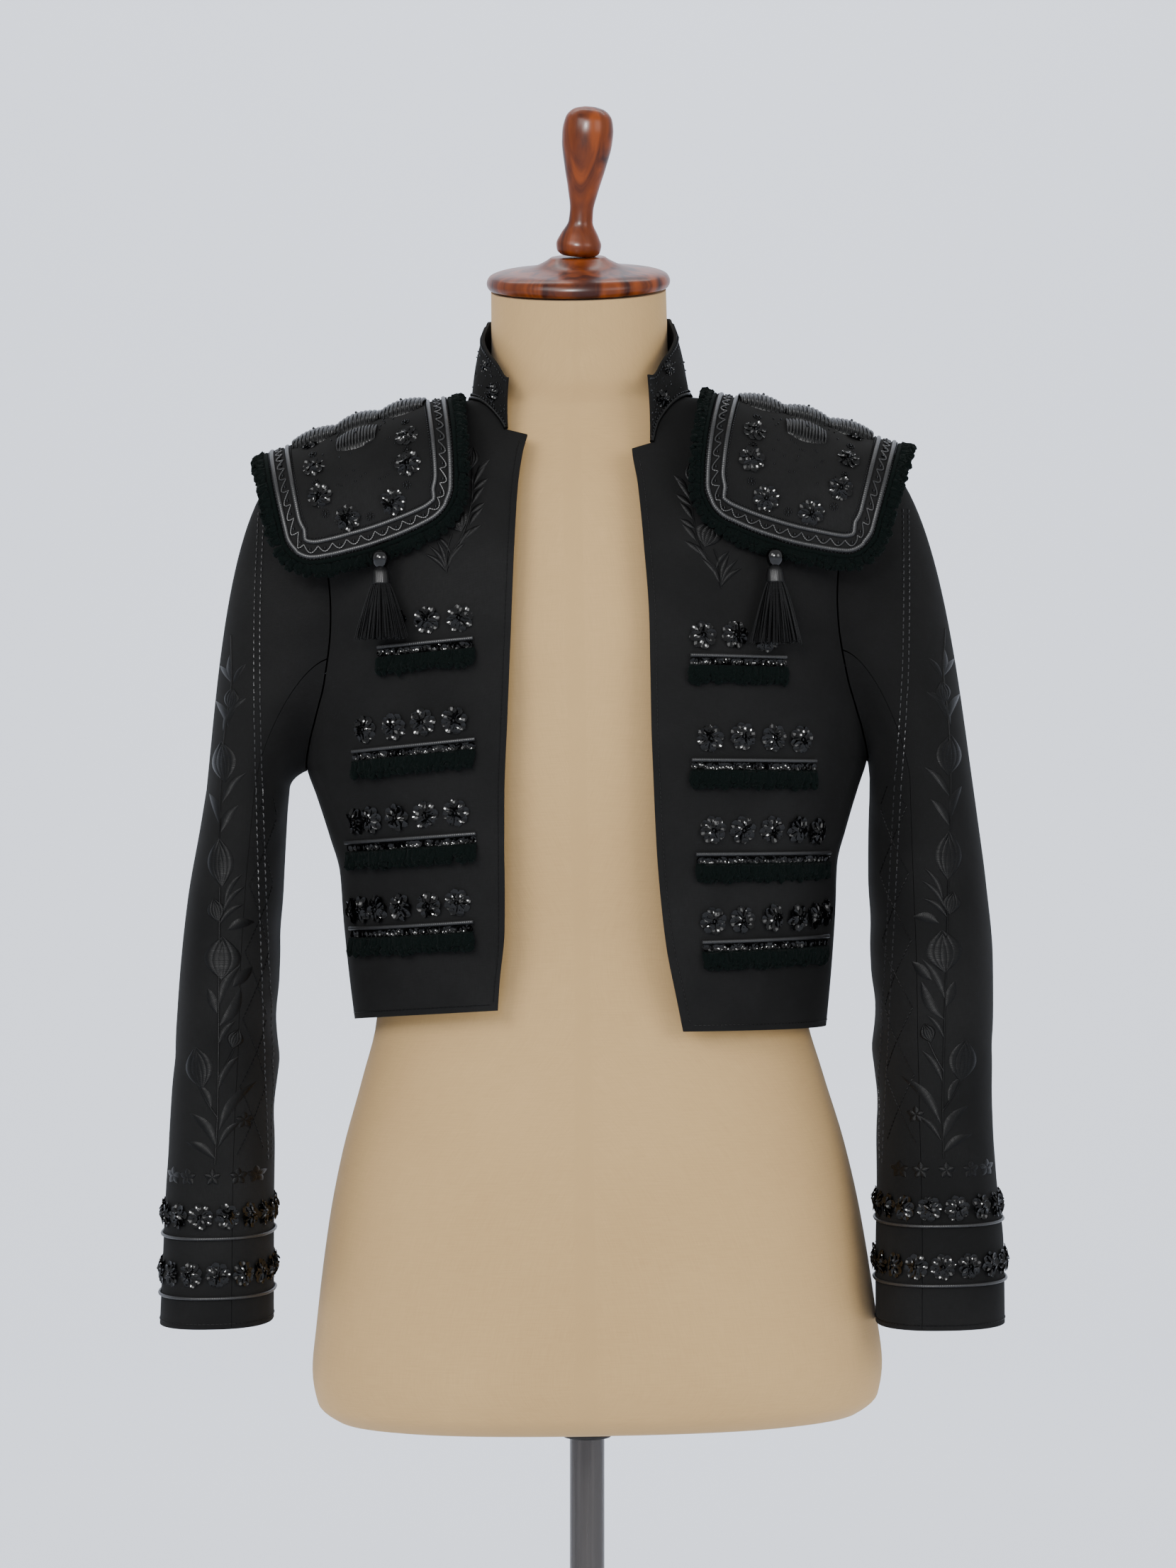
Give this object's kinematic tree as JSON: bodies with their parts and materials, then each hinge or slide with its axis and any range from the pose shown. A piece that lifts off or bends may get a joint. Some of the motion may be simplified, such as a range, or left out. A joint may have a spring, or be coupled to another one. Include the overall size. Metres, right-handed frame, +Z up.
{
  "type": "matador jacket on a dress form",
  "caption": "Short open matador jacket in black wool with stiff shoulder pieces, braid bars and loop fringe, on a limbless linen dress form with a turned wooden finial.",
  "frame": {"origin": "centre of the round base's underside", "axes": "+Z up, the front faces -Y, the wearer's left is +X"},
  "size_m": [0.5903, 0.38, 1.3753],
  "materials": {
    "cloth": "matte",
    "chenille": "matte",
    "satin": "satin",
    "silk": "satin",
    "sequin": "gloss",
    "bead": "gloss",
    "linen": "matte",
    "wood": "gloss",
    "steel": "satin",
    "iron": "satin"
  },
  "bodies": {
    "root": {"back": "cloth", "front_right": "cloth", "front_left": "cloth", "collar": "cloth", "topsleeve_right": "cloth", "topsleeve_left": "cloth", "undersleeve_right": "cloth", "undersleeve_left": "cloth", "epaulette_right": "cloth", "epaulette_left": "cloth", "epaulette_right_fringe": "chenille", "epaulette_left_fringe": "chenille", "braid_right_1": "chenille", "braid_right_2": "chenille", "braid_right_3": "chenille", "braid_right_4": "chenille", "braid_left_1": "chenille", "braid_left_2": "chenille", "braid_left_3": "chenille", "braid_left_4": "chenille", "cuff_piping_right": "satin", "cuff_piping_left": "satin", "tassel_right": "silk", "tassel_left": "silk", "form_torso": "linen", "neck_cap": "wood", "finial": "wood", "pole": "steel", "ferrule": "iron", "base": "iron"}
  },
  "joints": []
}
